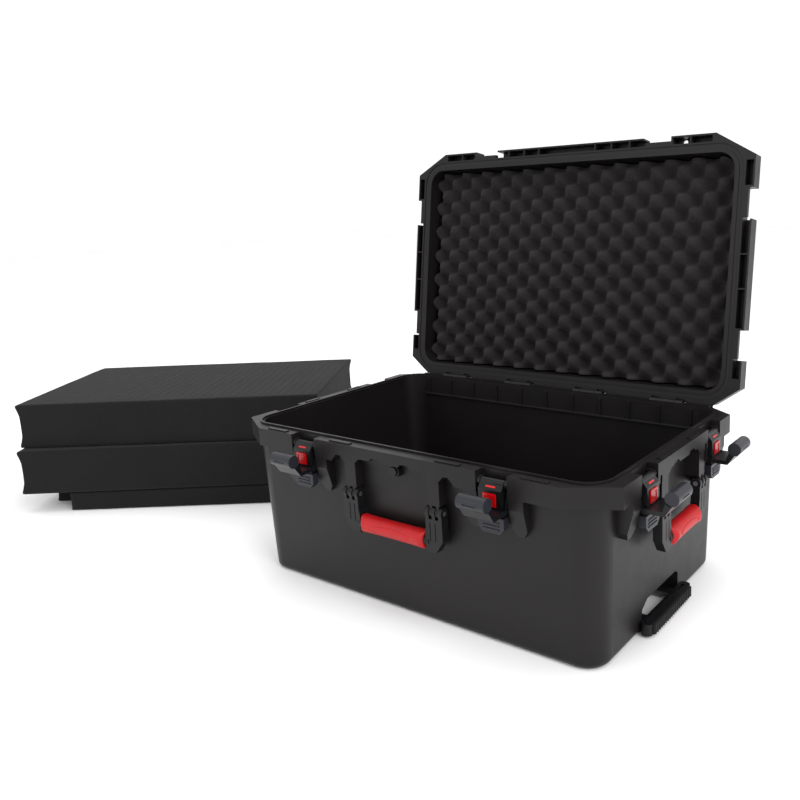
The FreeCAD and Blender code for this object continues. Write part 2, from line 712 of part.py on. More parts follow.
def build_lid():
    lid = Piece("lid_shell")
    lid.add(lid.prism("z", flange_outline("dome_inset", "dome_inset"), LID_Z, LID_Z + "+lid_flange_height"))
    lid.add(lid.rounded_prism("z", [(
        "-flange_half_length+dome_inset", "flange_half_length-dome_inset",
        "-flange_half_depth+dome_inset", "flange_half_depth-8", "inner_round")],
        LID_Z, LID_Z + "+lid_height", "-lid_draft"))
    for name, side, widths in LATCHES:
        lid.add(side.block(lid, "-gap_half-1", "gap_half+1", "-dome_inset-2", "-keeper_inset",
                           LID_Z, LID_Z + "+keeper_height"))
    lid.cut(lid.rounded_prism("z", [opening_loop("-lid_opening_inset", "inner_round-lid_opening_inset")],
                              LID_Z, LID_Z + "+lid_height-lid_wall", "-lid_draft"))
    lid.cut(lid.rounded_prism("z", [
        opening_loop("tongue_inset+tongue_width+1.7", "inner_round+tongue_inset+tongue_width+1.7"),
        opening_loop("tongue_inset-1.7", "inner_round+tongue_inset-1.7")], LID_Z, LID_Z + "+groove_deep"))
    for sign in ("-", ""):
        lid.cut(lid.rod("z", sign + "padlock_x", "-flange_half_depth+padlock_in", "padlock_radius",
                        LID_Z + "-1", LID_Z + "+lid_flange_height+1"))
    build_hinge(lid, "lid")
    hollow_lid_flange(lid)
    lid.finish(**lid_place())

    gasket = Piece("lid_gasket")
    gasket.add(gasket.rounded_prism("z", [
        opening_loop("tongue_inset+tongue_width+1.6", "inner_round+tongue_inset+tongue_width+1.6"),
        opening_loop("tongue_inset-1.6", "inner_round+tongue_inset-1.6")],
        LID_Z + "+1.2", LID_Z + "+groove_deep-press_gap"))
    gasket.finish(**lid_place())

    foam = Piece("lid_foam")
    top = LID_Z + "+lid_height-lid_wall-soft_gap"
    foam.add(foam.rounded_prism("z", [opening_loop("-lid_opening_inset-3.5", "inner_round-lid_opening_inset-3.5")],
                                top + "-lid_foam_thickness", top))
    foam.finish(**lid_place())

    pin = Piece("hinge_pin")
    pin.add(pin.rod("x", HINGE_Y, HINGE_Z, "hinge_pin_radius", "-hinge_far-hinge_knuckle", "hinge_far+hinge_knuckle"))
    pin.finish()


# ---------------------------------------------------------------- handles
def build_handle(name, side, grip):
    frame = Piece("handle_frame_" + name)
    drop_z = "(handle_pin_z-handle_drop)"
    half = "arm_thickness/2"
    n_pair = ("-handle_in-" + half, "-handle_in+" + half)
    for sign in (1, -1):
        def pair(low, high):
            return (low, high) if sign > 0 else (negative(high), negative(low))
        arm = [
            (grip + "+2", "handle_pin_z-knuckle_radius-0.5"),
            (grip + "+2+arm_width", "handle_pin_z-knuckle_radius-0.5"),
            (grip + "+2+arm_width", drop_z + "+4"), (grip + "+arm_width-9", drop_z + "-grip_radius"),
            (grip + "+0.4", drop_z + "-grip_radius"), (grip + "+0.4", drop_z + "+grip_radius"),
            (grip + "+2", drop_z + "+grip_radius+5")]
        points = arm if sign > 0 else [(negative(s), z) for s, z in arm]
        frame.add(LOCAL.face(frame, points, *n_pair))
        for low, high in (("2", "7.2"), ("12", "17"), ("21.8", "27")):
            ends = pair(grip + "+" + low, grip + "+" + high)
            frame.add(LOCAL.rod(frame, "-handle_in", "handle_pin_z", "knuckle_radius", *ends))
            frame.add(LOCAL.block(frame, *ends, *n_pair,
                                  "handle_pin_z-knuckle_radius-1", "handle_pin_z"))
        for groove in ("8", "16"):
            frame.cut(LOCAL.block(frame, *pair(grip + "+" + groove, grip + "+" + groove + "+1.2"),
                                  "-handle_in+" + half + "-1", "-handle_in+" + half + "+1",
                                  drop_z + "+2", "handle_pin_z-knuckle_radius-5"))
    frame.add(LOCAL.rod(frame, "-handle_in", drop_z, "core_radius", negative(grip + "+5"), grip + "+5"))
    frame.cut(LOCAL.rod(frame, "-handle_in", "handle_pin_z", "handle_pin_radius+running_gap",
                        negative(grip + "+29"), grip + "+29"))
    frame.finish(**side.place())

    red = Piece("handle_grip_" + name)
    red.add(LOCAL.rod(red, "-handle_in", drop_z, "grip_radius", negative(grip), grip))
    red.cut(LOCAL.rod(red, "-handle_in", drop_z, "core_radius+press_gap", negative(grip + "+1"), grip + "+1"))
    red.finish(**side.place())


def build_handle_pins():
    pins = Piece("handle_pins")
    for name, side, grip in HANDLES:
        for low, high in ((grip + "+2", grip + "+27"), (negative(grip + "+27"), negative(grip + "+2"))):
            pins.add(side.rod(pins, "-handle_in", "handle_pin_z", "handle_pin_radius", low, high))
    pins.finish()


# ---------------------------------------------------------------- latches
def build_latch(name, side):
    pin_n, pin_z = "-latch_pin_n", "latch_pin_z"
    claw_n, claw_z = "-claw_pin_n", "claw_pin_z"
    lever = Piece("latch_lever_" + name)
    lever.add(LOCAL.profile(lever, [
        ("-10.4", pin_z), ("-10.4", "lever_bottom+7"), ("-7", "lever_bottom"), ("1.5", "lever_bottom"),
        ("lever_front", "lever_bottom+4.5"), ("lever_front", pin_z + "-6"), (pin_n + "+4.4", pin_z)],
        "-lever_half+side_gap", "lever_half-side_gap"))
    lever.add(LOCAL.rod(lever, pin_n, pin_z, "4.4", "-lever_half+side_gap", "lever_half-side_gap"))
    for sign in (1, -1):
        ends = ("lever_half-2", "claw_half") if sign > 0 else ("-claw_half", "-lever_half+2")
        lever.add(LOCAL.rod(lever, claw_n, claw_z, "claw_pin_radius", *ends))
    lever.cut(LOCAL.rod(lever, pin_n, pin_z, "latch_pin_radius+running_gap", "-lever_half-1", "lever_half+1"))
    lever.cut(LOCAL.block(lever, "-button_half-side_gap", "button_half+side_gap", "-4", "lever_front+1",
                          "button_low-side_gap", "button_high+side_gap"))
    lever.finish(**side.place())

    button = Piece("latch_button_" + name)
    button.add(LOCAL.block(button, "-button_half", "button_half", "-1.5", "lever_front+1.5",
                           "button_low", "button_high"))
    button.cut(LOCAL.block(button, "-button_half+2.5", "button_half-2.5", "lever_front+0.7", "lever_front+2",
                           "button_low+2.5", "button_high-2.5"))
    button.finish(**side.place())

    tab = Piece("latch_tab_" + name)
    tab.add(LOCAL.face(tab, [
        ("-17.5", "lever_bottom"), ("-17.5", "tab_bottom+6"), ("-12", "tab_bottom"), ("12", "tab_bottom"),
        ("17.5", "tab_bottom+6"), ("17.5", "lever_bottom")], "-6", "3"))
    for rise in ("4", "8", "12"):
        tab.add(LOCAL.block(tab, "-11", "11", "2.5", "4", "tab_bottom+" + rise, "tab_bottom+1.5+" + rise))
    tab.finish(**side.place())

    claw = Piece("latch_claw_" + name)
    foot = "claw_pin_z-20.5"
    outline = [
        ("-12.3", claw_z + "-2"), ("-4", foot), ("25", foot), ("34", foot + "+13"), ("27", foot + "+17"),
        ("22.5", foot + "+5.2"), ("0.5", foot + "+5.2"), ("-5", claw_z + "+2.2")]
    plate = [
        ("5", foot), ("25", foot), ("34", foot + "+13"), ("27", foot + "+17"), ("22.5", foot + "+5.2"),
        ("5", foot + "+5.2")]
    cheek = ("claw_half-cheek_thickness", "claw_half")
    for low, high in (cheek, ("-" + cheek[1], "-" + cheek[0].replace("-", "+"))):
        claw.add(LOCAL.profile(claw, outline, low, high))
        claw.add(LOCAL.rod(claw, claw_n, claw_z, "4.3", low, high))
    claw.add(LOCAL.profile(claw, plate, "-claw_half", "claw_half"))
    claw.cut(LOCAL.rod(claw, claw_n, claw_z, "claw_pin_radius+running_gap", "-claw_half-1", "claw_half+1"))
    claw.cut(LOCAL.rod(claw, claw_n + "+bar_reach", claw_z + "+0.5", "bar_radius+press_gap",
                       "-claw_half-1", "claw_half+1"))
    claw.finish(**side.place())

    bar = Piece("latch_bar_" + name)
    bar.add(LOCAL.rod(bar, claw_n + "+bar_reach", claw_z + "+0.5", "bar_radius", "-claw_half+1.5", "claw_half-1.5"))
    bar.cut(LOCAL.block(bar, "-9", "9", "bar_reach-claw_pin_n+bar_radius-1", "bar_reach-claw_pin_n+bar_radius+1",
                        claw_z + "-0.8", claw_z + "+0.8"))
    bar.finish(**side.place())


def build_latch_pins():
    pins = Piece("latch_pins")
    for name, side, widths in LATCHES:
        pins.add(side.rod(pins, "-latch_pin_n", "latch_pin_z", "latch_pin_radius", "-gap_half+0.2", "gap_half-0.2"))
    pins.finish()


# ---------------------------------------------------------------- pull handle, wheels, valve
def build_pull_handle():
    tubes = Piece("pull_tubes")
    for sign in ("-", "+"):
        tubes.add(tubes.rod("x", "pull_y%stube_spacing" % sign, "tube_z", "tube_radius",
                            "tube_inner_end", "foot_half_length+1.6"))
    tubes.finish()

    bar = Piece("pull_grip")
    x_low, x_high = "foot_half_length+1.6", "foot_half_length+16"
    bar.add(bar.rounded_prism("z", [(x_low, x_high, "pull_y-pull_half", "pull_y+pull_half", "6")],
                              "tube_z-7", "tube_z+7.5"))
    bar.cut(bar.box("foot_half_length+6", "foot_half_length+10", "pull_y-pull_half+8", "pull_y+pull_half-8",
                    "tube_z+4.5", "tube_z+9"))
    bar.finish()

    pad = Piece("pull_grip_pad")
    pad.add(pad.box(x_high, x_high + "+2.5", "pull_y-pull_half+7", "pull_y+pull_half-7", "tube_z-6", "tube_z+6.5"))
    for number in range(19):
        rib = "pull_y+%g" % (-54 + 6 * number)
        pad.add(pad.rod("z", x_high + "+2.5", rib, "1.2", "tube_z-6", "tube_z+6.5"))
    pad.finish()


def build_wheels():
    for name, sign in (("front", "-"), ("back", "")):
        middle = sign + "wheel_y"
        ends = (middle + "-wheel_width/2", middle + "+wheel_width/2")
        tyre = Piece("wheel_tyre_" + name)
        tyre.add(tyre.rod("y", "wheel_x", "wheel_z", "wheel_radius", *ends))
        tyre.cut(tyre.rod("y", "wheel_x", "wheel_z", "wheel_hub_radius+press_gap", ends[0] + "-1", ends[1] + "+1"))
        for step in ("-4", "4"):
            groove = Piece(tyre.name + "_groove")
            ring = groove.rod("y", "wheel_x", "wheel_z", "wheel_radius+1",
                              middle + "+" + step + "-0.9", middle + "+" + step + "+0.9")
            core = groove.rod("y", "wheel_x", "wheel_z", "wheel_radius-1", ends[0], ends[1])
            groove.add(ring)
            groove.cut(core)
            groove.stage()
            tyre.cut(groove.result)
        tyre.finish()

        hub = Piece("wheel_hub_" + name)
        hub.add(hub.rod("y", "wheel_x", "wheel_z", "wheel_hub_radius", *ends))
        for low, high in ((ends[0] + "-1", ends[0] + "+4"), (ends[1] + "-4", ends[1] + "+1")):
            dish = Piece(hub.name + "_dish")
            dish.add(dish.rod("y", "wheel_x", "wheel_z", "wheel_hub_radius-3", low, high))
            dish.cut(dish.rod("y", "wheel_x", "wheel_z", "wheel_axle_radius+3.5", low + "-1", high + "+1"))
            dish.stage()
            hub.cut(dish.result)
        hub.cut(hub.rod("y", "wheel_x", "wheel_z", "wheel_axle_radius+running_gap", ends[0] + "-1", ends[1] + "+1"))
        hub.finish()

    axles = Piece("wheel_axles")
    for sign in ("-", ""):
        middle = sign + "wheel_y"
        axles.add(axles.rod("y", "wheel_x", "wheel_z", "wheel_axle_radius",
                            middle + "-well_half-3.3", middle + "+well_half+3.3"))
    axles.finish()


def build_valve():
    valve = Piece("pressure_valve")
    wall = "-flange_half_depth+gap_deep-1"
    valve.add(valve.rod("y", "valve_x", "valve_z", "valve_radius", wall + "-7", wall + "-press_gap"))
    hexagon = []
    for corner in range(6):
        turn = math.radians(60 * corner)
        hexagon.append(("valve_x+%.6f*valve_radius*0.75" % math.cos(turn),
                        "valve_z+%.6f*valve_radius*0.75" % math.sin(turn)))
    valve.add(valve.prism("y", hexagon, wall + "-9.5", wall + "-6"))
    valve.finish()


# ---------------------------------------------------------------- foam taken out of the case
def build_foam():
    low = "0"
    layers = (("foam_base_pad", "foam_pad_thickness", 0, 0, 0), ("foam_middle", "foam_thickness", -6, -5, 0.8),
              ("foam_top", "foam_thickness", -11, 6, -0.7))
    for name, thickness, shift_x, shift_y, turn in layers:
        layer = Piece(name)
        layer.add(layer.box("-foam_length/2", "foam_length/2", "-foam_depth/2", "foam_depth/2", "0", thickness))
        if name == "foam_base_pad":
            # Corners cut out to pass the wheel housings
            for near, far in (("-foam_depth/2-1", "-wheel_y+well_half+8"), ("wheel_y-well_half-8", "foam_depth/2+1")):
                layer.cut(layer.box("-foam_length/2-1", "wheel_x+wheel_radius+14", near, far, "-1", thickness + "+1"))
        layer.finish(x="foam_x+%g" % shift_x, y="foam_y+%g" % shift_y, z=low, turn="foam_turn+%g" % turn)
        low = low + "+" + thickness + "+soft_gap"


build_base()
build_lid()
for name, side, grip in HANDLES:
    build_handle(name, side, grip)
build_handle_pins()
for name, side, widths in LATCHES:
    build_latch(name, side)
build_latch_pins()
build_pull_handle()
build_wheels()
build_valve()
build_foam()
doc.recompute()

for item in doc.Objects:
    for fault in ("Invalid", "Error"):
        if fault in item.State:
            raise RuntimeError("%s is %s" % (item.Name, fault))
os.makedirs("parts", exist_ok=True)
for name, kept in NODES:
    shape = kept.Shape
    if shape.isNull() or not shape.isValid():
        raise RuntimeError(name + " has no valid solid")
    shape.exportStep("parts/%s.step" % name)
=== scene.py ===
import json
import math

import bpy
from mathutils import Matrix, Vector, noise


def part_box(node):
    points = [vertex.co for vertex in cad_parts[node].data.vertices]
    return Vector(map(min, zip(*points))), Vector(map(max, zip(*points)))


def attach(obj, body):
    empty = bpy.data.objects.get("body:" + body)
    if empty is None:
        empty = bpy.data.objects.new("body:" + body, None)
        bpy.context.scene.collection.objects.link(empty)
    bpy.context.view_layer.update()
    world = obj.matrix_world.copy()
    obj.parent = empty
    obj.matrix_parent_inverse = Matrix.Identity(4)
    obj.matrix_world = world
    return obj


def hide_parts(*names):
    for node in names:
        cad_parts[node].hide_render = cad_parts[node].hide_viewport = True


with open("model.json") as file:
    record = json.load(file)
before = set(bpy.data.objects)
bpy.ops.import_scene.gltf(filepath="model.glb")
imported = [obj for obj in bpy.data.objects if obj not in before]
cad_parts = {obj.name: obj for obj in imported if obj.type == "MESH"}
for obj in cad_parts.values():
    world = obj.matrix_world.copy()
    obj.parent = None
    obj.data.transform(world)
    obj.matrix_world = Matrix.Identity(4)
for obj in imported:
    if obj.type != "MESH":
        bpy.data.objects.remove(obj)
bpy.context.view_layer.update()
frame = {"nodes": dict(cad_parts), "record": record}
record = frame["record"]
joints = {joint["name"]: joint for joint in record["behaviour"]["joints"]}
MM = 0.001

# ------------------------------------------------------------------ materials


def new_material(name):
    material = bpy.data.materials.new(name)
    material.use_nodes = True
    nodes = material.node_tree.nodes
    nodes.clear()
    output = nodes.new("ShaderNodeOutputMaterial")
    shader = nodes.new("ShaderNodeBsdfPrincipled")
    material.node_tree.links.new(shader.outputs["BSDF"], output.inputs["Surface"])
    return material, material.node_tree, shader


def texture(tree, kind, scale, **settings):
    """A texture node in object coordinates, in metres."""
    place = tree.nodes.new("ShaderNodeTexCoord")
    node = tree.nodes.new("ShaderNodeTex" + kind)
    node.inputs["Scale"].default_value = scale
    for key, number in settings.items():
        node.inputs[key].default_value = number
    tree.links.new(place.outputs["Object"], node.inputs["Vector"])
    return node


def ramp(tree, source, low, high, low_at=0.3, high_at=0.7):
    node = tree.nodes.new("ShaderNodeValToRGB")
    node.color_ramp.elements[0].position = low_at
    node.color_ramp.elements[1].position = high_at
    node.color_ramp.elements[0].color = low
    node.color_ramp.elements[1].color = high
    tree.links.new(source, node.inputs["Fac"])
    return node.outputs["Color"]


def span_of(tree, source, low, high):
    node = tree.nodes.new("ShaderNodeMapRange")
    node.inputs["To Min"].default_value = low
    node.inputs["To Max"].default_value = high
    tree.links.new(source, node.inputs["Value"])
    return node.outputs["Result"]


def bump(tree, source, strength, distance, under=None):
    node = tree.nodes.new("ShaderNodeBump")
    node.inputs["Strength"].default_value = strength
    node.inputs["Distance"].default_value = distance
    tree.links.new(source, node.inputs["Height"])
    if under is not None:
        tree.links.new(under, node.inputs["Normal"])
    return node.outputs["Normal"]


def shade(colour, factor):
    return tuple(min(1.0, channel * factor) for channel in colour) + (1.0,)


def moulded(name, colour, rough, grain=1400.0, depth=0.00012, strength=0.35, blotch=0.12,
            specular=0.5):
    """Moulded plastic: spark-eroded grain, faint cloudiness and slightly uneven gloss."""
    material, tree, shader = new_material(name)
    cloud = texture(tree, "Noise", 9.0, Detail=4.0, Roughness=0.6)
    tree.links.new(ramp(tree, cloud.outputs["Fac"], shade(colour, 1 - blotch),
                        shade(colour, 1 + blotch)), shader.inputs["Base Color"])
    gloss = texture(tree, "Noise", 60.0, Detail=3.0)
    tree.links.new(span_of(tree, gloss.outputs["Fac"], rough - 0.06, rough + 0.06),
                   shader.inputs["Roughness"])
    fine = texture(tree, "Noise", grain, Detail=2.0, Roughness=0.7)
    pits = texture(tree, "Voronoi", grain * 0.45)
    first = bump(tree, fine.outputs["Fac"], strength, depth)
    tree.links.new(bump(tree, pits.outputs["Distance"], strength * 0.5, depth, first),
                   shader.inputs["Normal"])
    shader.inputs["Specular IOR Level"].default_value = specular
    return material


CUT_HALF_WIDTH = 0.0011
TOP_FACING = 0.8


def pluck_lines(tree, spacing):
    """0 along the cuts of the pluck grid on faces that look up, 1 elsewhere."""
    place = tree.nodes.new("ShaderNodeTexCoord")
    split = tree.nodes.new("ShaderNodeSeparateXYZ")
    tree.links.new(place.outputs["Object"], split.inputs["Vector"])
    lines = []
    for axis in ("X", "Y"):
        wrap = tree.nodes.new("ShaderNodeMath")
        wrap.operation = "PINGPONG"
        wrap.inputs[1].default_value = spacing / 2
        tree.links.new(split.outputs[axis], wrap.inputs[0])
        near = tree.nodes.new("ShaderNodeMapRange")
        near.inputs["From Max"].default_value = CUT_HALF_WIDTH
        tree.links.new(wrap.outputs[0], near.inputs["Value"])
        lines.append(near.outputs["Result"])
    both = tree.nodes.new("ShaderNodeMath")
    both.operation = "MINIMUM"
    tree.links.new(lines[0], both.inputs[0])
    tree.links.new(lines[1], both.inputs[1])
    facing = tree.nodes.new("ShaderNodeNewGeometry")
    up = tree.nodes.new("ShaderNodeSeparateXYZ")
    tree.links.new(facing.outputs["Normal"], up.inputs["Vector"])
    top = tree.nodes.new("ShaderNodeMath")
    top.operation = "LESS_THAN"
    top.inputs[1].default_value = TOP_FACING
    tree.links.new(up.outputs["Z"], top.inputs[0])
    only = tree.nodes.new("ShaderNodeMath")
    only.operation = "MAXIMUM"
    tree.links.new(both.outputs[0], only.inputs[0])
    tree.links.new(top.outputs[0], only.inputs[1])
    return only.outputs[0]


def open_cell(name, colour, cuts=None):
    """Open-cell foam: dense pores, dusty sheen. cuts is the spacing in metres of the pluck grid."""
    material, tree, shader = new_material(name)
    cell = texture(tree, "Voronoi", 780.0)
    speck = texture(tree, "Noise", 520.0, Detail=5.0, Roughness=0.75)
    soft = texture(tree, "Noise", 14.0, Detail=3.0)
    mix = tree.nodes.new("ShaderNodeMix")
    mix.data_type = "RGBA"
    mix.blend_type = "MULTIPLY"
    mix.inputs["Factor"].default_value = 0.55
    tree.links.new(ramp(tree, speck.outputs["Fac"], shade(colour, 0.72), shade(colour, 1.3),
                        0.35, 0.65), mix.inputs["A"])
    tree.links.new(ramp(tree, soft.outputs["Fac"], (0.78, 0.78, 0.78, 1), (1, 1, 1, 1)),
                   mix.inputs["B"])
    colour_out = mix.outputs["Result"]
    height = bump(tree, cell.outputs["Distance"], 0.55, 0.0006)
    height = bump(tree, speck.outputs["Fac"], 0.4, 0.0005, height)
    if cuts is not None:
        # Painted shade: along the pluck cuts on the upward faces the foam colour is darkened to
        # 0.35 of itself, standing in for the shade inside the slits
        only = pluck_lines(tree, cuts)
        cut_shade = tree.nodes.new("ShaderNodeMix")
        cut_shade.data_type = "RGBA"
        cut_shade.inputs["A"].default_value = shade(colour, 0.35)
        tree.links.new(only, cut_shade.inputs["Factor"])
        tree.links.new(colour_out, cut_shade.inputs["B"])
        colour_out = cut_shade.outputs["Result"]
        height = bump(tree, only, 0.8, 0.0012, height)
    tree.links.new(colour_out, shader.inputs["Base Color"])
    tree.links.new(height, shader.inputs["Normal"])
    shader.inputs["Roughness"].default_value = 0.95
    shader.inputs["Specular IOR Level"].default_value = 0.12
    shader.inputs["Sheen Weight"].default_value = 0.05
    shader.inputs["Sheen Roughness"].default_value = 0.6
    return material


def soft_rubber(name, colour, rough, strength=0.25):
    material, tree, shader = new_material(name)
    cloud = texture(tree, "Noise", 40.0, Detail=4.0)
    tree.links.new(ramp(tree, cloud.outputs["Fac"], shade(colour, 0.9), shade(colour, 1.08)),
                   shader.inputs["Base Color"])
    fine = texture(tree, "Noise", 2200.0, Detail=2.0)
    tree.links.new(bump(tree, fine.outputs["Fac"], strength, 0.00008), shader.inputs["Normal"])
    tree.links.new(span_of(tree, cloud.outputs["Fac"], rough - 0.05, rough + 0.08),
                   shader.inputs["Roughness"])
    shader.inputs["Specular IOR Level"].default_value = 0.32
    return material


def turned_metal(name, colour, rough):
    material, tree, shader = new_material(name)
    lines = texture(tree, "Noise", 900.0, Detail=3.0)
    tree.links.new(ramp(tree, lines.outputs["Fac"], shade(colour, 0.85), shade(colour, 1.1)),
                   shader.inputs["Base Color"])
    tree.links.new(span_of(tree, lines.outputs["Fac"], rough - 0.08, rough + 0.1),
                   shader.inputs["Roughness"])
    tree.links.new(bump(tree, lines.outputs["Fac"], 0.15, 0.00005), shader.inputs["Normal"])
    shader.inputs["Metallic"].default_value = 1.0
    return material


MATERIALS = {
    "shell": moulded("shell_plastic", (0.0072, 0.0060, 0.0065), 0.40, 1100.0, 0.00014, 0.4, 0.14,
                     0.23),
    "shell_dark": moulded("dark_plastic", (0.006, 0.006, 0.0066), 0.40, specular=0.24),
    "frame": moulded("frame_plastic", (0.0055, 0.0056, 0.0066), 0.36, 1800.0, 0.00008, 0.25,
                     specular=0.26),
    "latch_black": moulded("latch_black_plastic", (0.0045, 0.0047, 0.0056), 0.32, 2200.0, 0.00006,
                           0.2, specular=0.26),
    "latch_grey": moulded("latch_grey_plastic", (0.014, 0.0145, 0.020), 0.36, 2000.0, 0.00008,
                          0.25, specular=0.32),
    "hub": moulded("hub_plastic", (0.010, 0.010, 0.0105), 0.45, specular=0.3),
    "red_button": moulded("button_red_plastic", (0.50, 0.001, 0.003), 0.20, 2400.0, 0.00003, 0.1,
                          0.05),
    "red_grip": soft_rubber("grip_red_rubber", (0.40, 0.006, 0.008), 0.40),
    "gasket": soft_rubber("gasket_rubber", (0.007, 0.007, 0.0075), 0.6),
    "tyre": soft_rubber("tyre_rubber", (0.008, 0.008, 0.008), 0.7, 0.5),
    "steel": turned_metal("pin_steel", (0.55, 0.55, 0.57), 0.32),
    "tube": turned_metal("tube_anodised", (0.10, 0.10, 0.105), 0.35),
    "foam": open_cell("case_foam", (0.0175, 0.0150, 0.0165)),
}
LOOSE_FOAM_COLOUR = (0.0085, 0.0083, 0.0085)
PLUCK_PITCH = 15 * MM
PLUCK_FOAM = open_cell("pluck_foam", LOOSE_FOAM_COLOUR, PLUCK_PITCH)
PAD_FOAM = open_cell("pad_foam", LOOSE_FOAM_COLOUR)

SLOTS = {part["node"]: part["material_slot"] for part in record["subparts"]}


def paint(obj, material):
    obj.data.materials.clear()
    obj.data.materials.append(material)


def round_edges(obj, width, angle=None):
    edge = obj.modifiers.new("soft_edges", "BEVEL")
    edge.width = width
    edge.segments = 2
    edge.limit_method = "ANGLE"
    if angle is not None:
        edge.angle_limit = angle


# Edge radius of the CAD pieces in each slot, in millimetres
BEVELS = {"shell": 0.9, "shell_dark": 0.4, "frame": 0.7, "latch_black": 0.6, "latch_grey": 0.7,
          "hub": 0.6, "red_button": 0.5, "tyre": 1.0, "gasket": 0.4}
FLAT_WITHIN = math.radians(0.6)
SHARP_OVER = math.radians(38)
for node, obj in frame["nodes"].items():
    slot = SLOTS[node]
    paint(obj, MATERIALS[slot])
    if slot in BEVELS:
        flat = obj.modifiers.new("flat_faces", "DECIMATE")
        flat.decimate_type = "DISSOLVE"
        flat.angle_limit = FLAT_WITHIN
        round_edges(obj, BEVELS[slot] * MM, SHARP_OVER)

# ------------------------------------------------------------------ mesh helpers


def make_object(name, vertices, faces, material, smooth=True):
    mesh = bpy.data.meshes.new(name)
    mesh.from_pydata([tuple(v) for v in vertices], [], faces)
    mesh.update()
    if smooth:
        mesh.polygons.foreach_set("use_smooth", [True] * len(mesh.polygons))
    obj = bpy.data.objects.new(name, mesh)
    bpy.context.scene.collection.objects.link(obj)
    obj.data.materials.append(material)
    return obj


def block_grid(counts, left_out=None):
    """Vertices and faces of a unit block divided along x, y and z.

    The columns where left_out(u, v) is true are missing.
    """
    index = {}
    points = []
    faces = []

    def vertex(i, j, k):
        key = (i, j, k)
        if key not in index:
            index[key] = len(points)
            points.append((i / counts[0], j / counts[1], k / counts[2]))
        return index[key]

    def kept(i, j):
        if not (0 <= i < counts[0] and 0 <= j < counts[1]):
            return False
        return left_out is None or not left_out((i + 0.5) / counts[0], (j + 0.5) / counts[1])

    for i in range(counts[0]):
        for j in range(counts[1]):
            if not kept(i, j):
                continue
            around = ((i, j), (i + 1, j), (i + 1, j + 1), (i, j + 1))
            faces.append([vertex(a, b, counts[2]) for a, b in around])
            faces.append([vertex(a, b, 0) for a, b in reversed(around)])
            beside = ((i, j - 1), (i + 1, j), (i, j + 1), (i - 1, j))
            for side, cell in enumerate(beside):
                if kept(*cell):
                    continue
                start, stop = around[side], around[(side + 1) % 4]
                for k in range(counts[2]):
                    faces.append([vertex(*start, k), vertex(*stop, k),
                                  vertex(*stop, k + 1), vertex(*start, k + 1)])
    return points, faces


# ------------------------------------------------------------------ foam layers beside the case
FOAM_TURNS = {"foam_base_pad": 35.5, "foam_middle": 36.3, "foam_top": 34.8}
FOAM_LENGTH, FOAM_DEPTH = 540 * MM, 330 * MM
FOAM_GRID = (90, 56, 14)
FOAM_EDGE = 3.5 * MM
END_PULL, SIDE_PULL = 7.5 * MM, 3.0 * MM    # how far the walls of a full layer are hollowed
FULL_LAYER = 80 * MM
PAD_NOTCH_X, PAD_NOTCH_Y = 51.5 * MM, 55 * MM
PAD_WAVE, BLOCK_WAVE = 3.5 * MM, 1.2 * MM


def pad_notch(u, v):
    """True where the lowest layer is cut away to pass the wheel housings."""
    at_side = abs(v - 0.5) * FOAM_DEPTH > FOAM_DEPTH / 2 - PAD_NOTCH_Y
    return u * FOAM_LENGTH < PAD_NOTCH_X and at_side


def foam_layer(node, body, material, seed, wave, left_out=None):
    """A cut foam block: hollowed sides, soft corners, and a faint wave on its faces."""
    low, high = (Vector(corner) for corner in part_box(node))
    centre = (low + high) / 2
    height = high.z - low.z
    unit, faces = block_grid(FOAM_GRID, left_out)
    size = Vector((FOAM_LENGTH, FOAM_DEPTH, height))
    soft = min(FOAM_EDGE, height / 8)
    points = []
    for u, v, w in unit:
        p = Vector(((u - 0.5) * size.x, (v - 0.5) * size.y, (w - 0.5) * size.z))
        # The end and side walls pull in between the top and bottom edges
        hollow = 1 - (2 * w - 1) ** 2
        if abs(u - 0.5) > 0.499:
            p.x -= math.copysign(END_PULL * hollow * (height / FULL_LAYER), p.x)
        if abs(v - 0.5) > 0.499:
            p.y -= math.copysign(SIDE_PULL * hollow * (height / FULL_LAYER), p.y)
        # Soft edges: shrink the block to a core and put each point a small radius from it
        core = Vector([max(-size[a] / 2 + soft, min(size[a] / 2 - soft, p[a]))
                       for a in range(3)])
        away = p - core
        if away.length > soft:
            p = core + away.normalized() * soft
        ripple = noise.noise(Vector((p.x * 7 + seed, p.y * 7, p.z * 5))) * wave
        fine = noise.noise(Vector((p.x * 45, p.y * 45 + seed, p.z * 45))) * 0.35 * MM
        if w > 0.999:
            p.z -= abs(ripple) + abs(fine)
        elif abs(v - 0.5) > 0.499:
            p.y -= math.copysign(abs(ripple) * 0.6 + abs(fine), p.y)
        elif abs(u - 0.5) > 0.499:
            p.x -= math.copysign(abs(ripple) * 0.6 + abs(fine), p.x)
        points.append(p)
    obj = make_object(node + "_cut", points, faces, material)
    obj.location = centre
    obj.rotation_euler = (0, 0, math.radians(FOAM_TURNS[node]))
    obj.modifiers.new("soften", "WEIGHTED_NORMAL")
    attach(obj, body)
    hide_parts(node)


foam_layer("foam_base_pad", "foam_pad", PAD_FOAM, 3.1, PAD_WAVE, pad_notch)
foam_layer("foam_middle", "foam_mid", PLUCK_FOAM, 8.7, BLOCK_WAVE)
foam_layer("foam_top", "foam_upper", PLUCK_FOAM, 15.2, BLOCK_WAVE)

# ------------------------------------------------------------------ egg-crate foam in the lid
hinge = joints["lid_hinge"]
HINGE_AT = Vector(hinge["pos_m"])
OPEN_ANGLE = math.radians(-hinge["range_deg"][0])
TO_OPEN = (Matrix.Translation(HINGE_AT) @ Matrix.Rotation(-OPEN_ANGLE, 4, "X")
           @ Matrix.Translation(-HINGE_AT))
EGG_PITCH = 42 * MM
EGG_DEEP = 23 * MM
EGG_GRID = (176, 112)
EGG_CORNER = 22 * MM
EGG_STEEPNESS = 0.7
EGG_JITTER = 0.8 * MM


